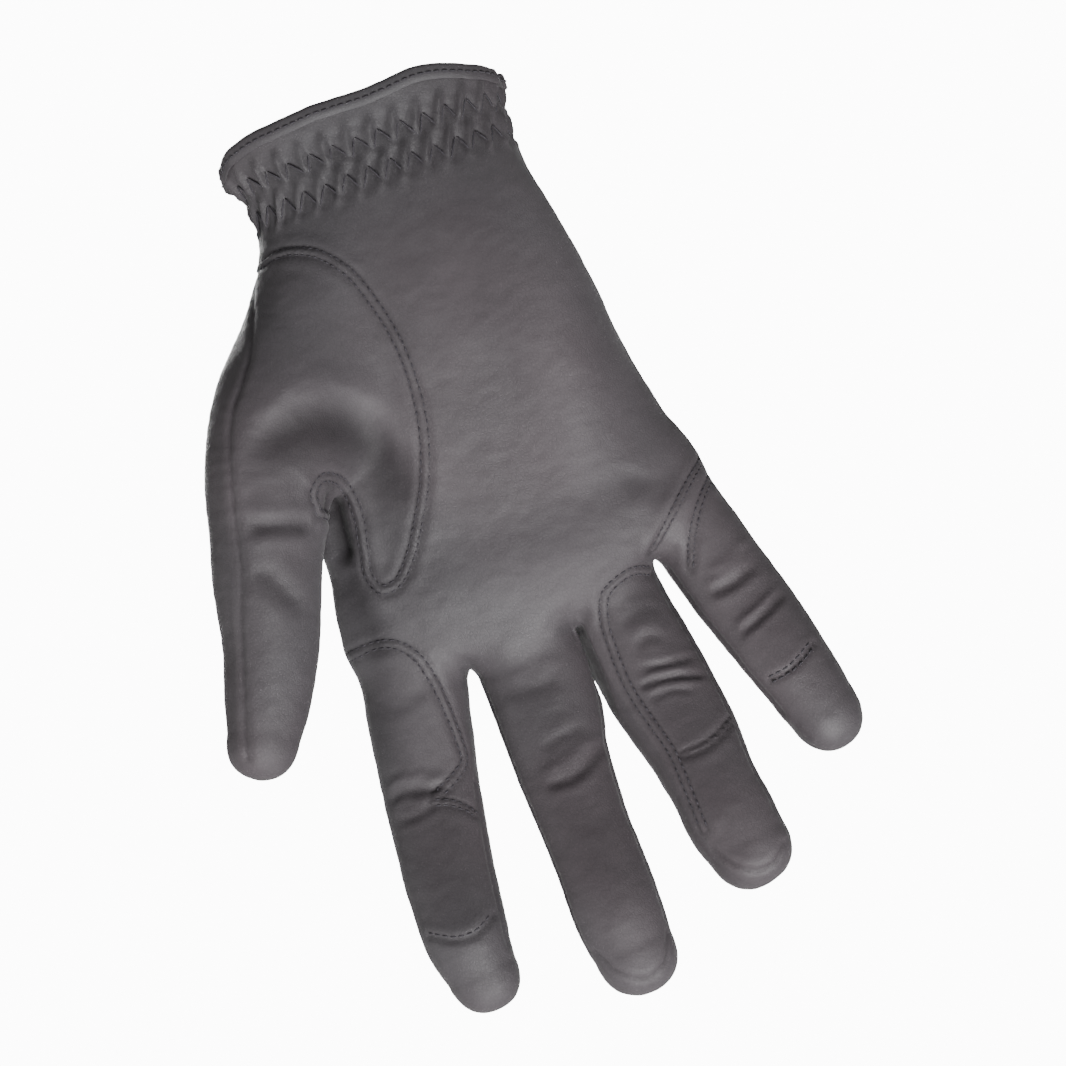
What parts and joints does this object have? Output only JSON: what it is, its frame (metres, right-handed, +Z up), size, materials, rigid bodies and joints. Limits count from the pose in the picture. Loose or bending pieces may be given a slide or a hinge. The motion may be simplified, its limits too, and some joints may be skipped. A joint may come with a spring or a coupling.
{
  "type": "golf glove",
  "caption": "Right-hand leather golf glove in its worn shape, with panelled fingers, a set-in thumb, a gathered wrist and a hook-and-loop closure tab on the back.",
  "frame": {"origin": "middle of the hand opening at the cuff", "axes": "+Z up the forearm, -Y out of the palm, -X towards the thumb; the fingers point down"},
  "size_m": [0.1435, 0.061, 0.2194],
  "materials": {
    "leather": "matt grained leather",
    "side_leather": "matt grained leather",
    "binding": "matt leather tape",
    "elastic": "ribbed elastic",
    "hook_tape": "hook tape",
    "loop_tape": "brushed loop tape"
  },
  "bodies": {
    "hand": {"back_panel": "leather", "cuff_binding": "binding", "little_base_band": "leather", "loop_pad": "loop_tape", "palm_panel": "leather", "slit_binding": "binding", "tab_anchor": "leather", "thumb_gusset_back": "leather", "thumb_gusset_front": "leather", "web_index_middle": "side_leather", "web_middle_ring": "side_leather", "web_ring_little": "side_leather", "wrist_elastic_lower": "elastic", "wrist_elastic_upper": "elastic"},
    "index_root": {"index_back_base": "leather", "index_front_base": "leather", "index_outer_fourchette_base": "side_leather"},
    "index_end": {"index_back_tip": "leather", "index_front_tip": "leather", "index_outer_fourchette_tip": "side_leather"},
    "middle_root": {"middle_back_base": "leather", "middle_front_base": "leather", "middle_inner_fourchette_base": "side_leather", "middle_outer_fourchette_base": "side_leather"},
    "middle_end": {"middle_back_tip": "leather", "middle_front_tip": "leather", "middle_inner_fourchette_tip": "side_leather", "middle_outer_fourchette_tip": "side_leather"},
    "ring_root": {"ring_back_base": "leather", "ring_front_base": "leather", "ring_inner_fourchette_base": "side_leather", "ring_outer_fourchette_base": "side_leather"},
    "ring_end": {"ring_back_tip": "leather", "ring_front_tip": "leather", "ring_inner_fourchette_tip": "side_leather", "ring_outer_fourchette_tip": "side_leather"},
    "little_root": {"little_back_base": "leather", "little_front_base": "leather", "little_inner_fourchette_base": "side_leather"},
    "little_end": {"little_back_tip": "leather", "little_front_tip": "leather", "little_inner_fourchette_tip": "side_leather"},
    "thumb_root": {"thumb_back_base": "leather", "thumb_front_base": "leather"},
    "thumb_end": {"thumb_back_tip": "leather", "thumb_front_tip": "leather"},
    "closure_tab": {"tab_leather": "leather", "tab_lining": "side_leather", "hook_pad": "hook_tape"}
  },
  "joints": [
    {"name": "index_root_fold", "type": "hinge", "parent": "hand", "child": "index_root", "pos_m": [-0.03294, -0.00223, -0.13013], "axis": [-0.9953, 0, 0.0963], "range_deg": [-15, 60]},
    {"name": "index_middle_fold", "type": "hinge", "parent": "index_root", "child": "index_end", "pos_m": [-0.0371, -0.00535, -0.15681], "axis": [-0.9963, 0, 0.0863], "range_deg": [-18, 60]},
    {"name": "middle_root_fold", "type": "hinge", "parent": "hand", "child": "middle_root", "pos_m": [-0.00559, -0.00228, -0.13102], "axis": [-1, 0, 0.0066], "range_deg": [-15, 60]},
    {"name": "middle_middle_fold", "type": "hinge", "parent": "middle_root", "child": "middle_end", "pos_m": [-0.0059, -0.00631, -0.15924], "axis": [-1, 0, 0.0001], "range_deg": [-18, 60]},
    {"name": "ring_root_fold", "type": "hinge", "parent": "hand", "child": "ring_root", "pos_m": [0.01892, -0.00218, -0.12649], "axis": [-0.9958, 0, -0.0919], "range_deg": [-15, 60]},
    {"name": "ring_middle_fold", "type": "hinge", "parent": "ring_root", "child": "ring_end", "pos_m": [0.02288, -0.00655, -0.1532], "axis": [-0.9955, 0, -0.0942], "range_deg": [-18, 60]},
    {"name": "little_root_fold", "type": "hinge", "parent": "hand", "child": "little_root", "pos_m": [0.04208, -0.0019, -0.11956], "axis": [-0.9849, 0, -0.1733], "range_deg": [-15, 60]},
    {"name": "little_middle_fold", "type": "hinge", "parent": "little_root", "child": "little_end", "pos_m": [0.04801, -0.00531, -0.14032], "axis": [-0.9847, 0, -0.1742], "range_deg": [-18, 60]},
    {"name": "thumb_root_fold", "type": "hinge", "parent": "hand", "child": "thumb_root", "pos_m": [-0.05001, -0.02216, -0.08322], "axis": [-0.78, -0.5151, 0.3553], "range_deg": [-12, 15]},
    {"name": "thumb_end_fold", "type": "hinge", "parent": "thumb_root", "child": "thumb_end", "pos_m": [-0.05942, -0.02582, -0.1092], "axis": [-0.7709, -0.5128, 0.3779], "range_deg": [-12, 30]},
    {"name": "tab_lift", "type": "hinge", "parent": "hand", "child": "closure_tab", "pos_m": [-0.02221, 0.01932, -0.022], "axis": [0, 0, 1], "range_deg": [0, 150]}
  ]
}
